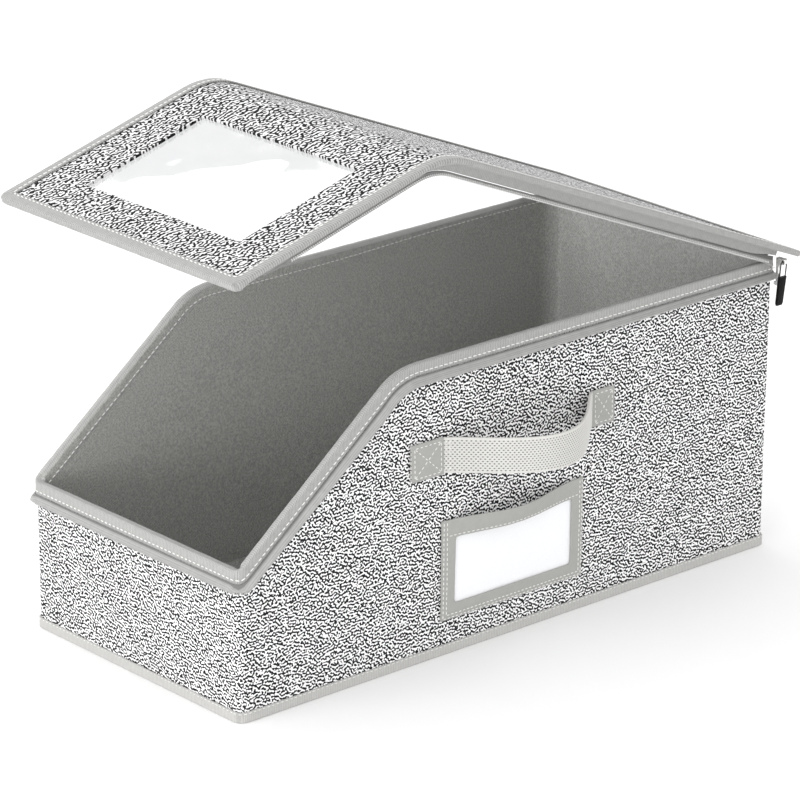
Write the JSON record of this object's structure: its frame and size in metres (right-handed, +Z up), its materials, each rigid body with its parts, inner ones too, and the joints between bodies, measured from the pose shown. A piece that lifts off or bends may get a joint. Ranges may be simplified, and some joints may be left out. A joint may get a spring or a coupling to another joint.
{
  "type": "fabric storage box",
  "caption": "Board-stiffened fabric storage box with a low front, sloping sides, a hinged lid with a clear window, a side carrying strap and a side card pocket.",
  "frame": {"origin": "middle of the underside of the floor, between the side walls and between the front and rear walls at their foot", "axes": "+Y from the low front to the hinged rear, along the box's length; +X to the side with the carrying strap and the card pocket; +Z up"},
  "size_m": [0.2629, 0.4787, 0.3342],
  "materials": {
    "flecked_fabric": "white polyester weave over board, with short broken near-black flecks in slanting rows",
    "lining_fabric": "mid-grey fine matt weave",
    "binding_tape": "light grey fine-ribbed tape, matt, with white stitching",
    "zip_tape": "smooth light grey woven tape",
    "webbing": "light grey coarse mesh-like webbing",
    "card": "plain white card",
    "clear_film": "clear soft plastic film, glossy, slightly wavy",
    "plated_zinc": "bright plated cast zinc",
    "painted_zinc": "gloss black paint on wire",
    "black_plastic": "black moulded plastic, satin"
  },
  "bodies": {
    "box": {"box_shell": "flecked_fabric", "box_lining": "lining_fabric", "rim_binding": "binding_tape", "base_binding": "binding_tape", "lower_zip_tape": "zip_tape", "carrying_strap": "webbing", "card_pocket": "binding_tape", "label_card": "card", "hinge_seam": "binding_tape", "zip_slider": "plated_zinc", "slider_bail": "painted_zinc", "pull_tab": "black_plastic"},
    "lid": {"lid_panel": "flecked_fabric", "window_film": "clear_film", "lid_binding": "binding_tape", "lid_skirt": "binding_tape", "upper_zip_tape": "zip_tape"}
  },
  "joints": [
    {"name": "lid_hinge", "type": "hinge", "parent": "box", "child": "lid", "pos_m": [0, 0.2292, 0.2025], "axis": [-1, 0, 0], "range_deg": [-22.5, 80]}
  ]
}
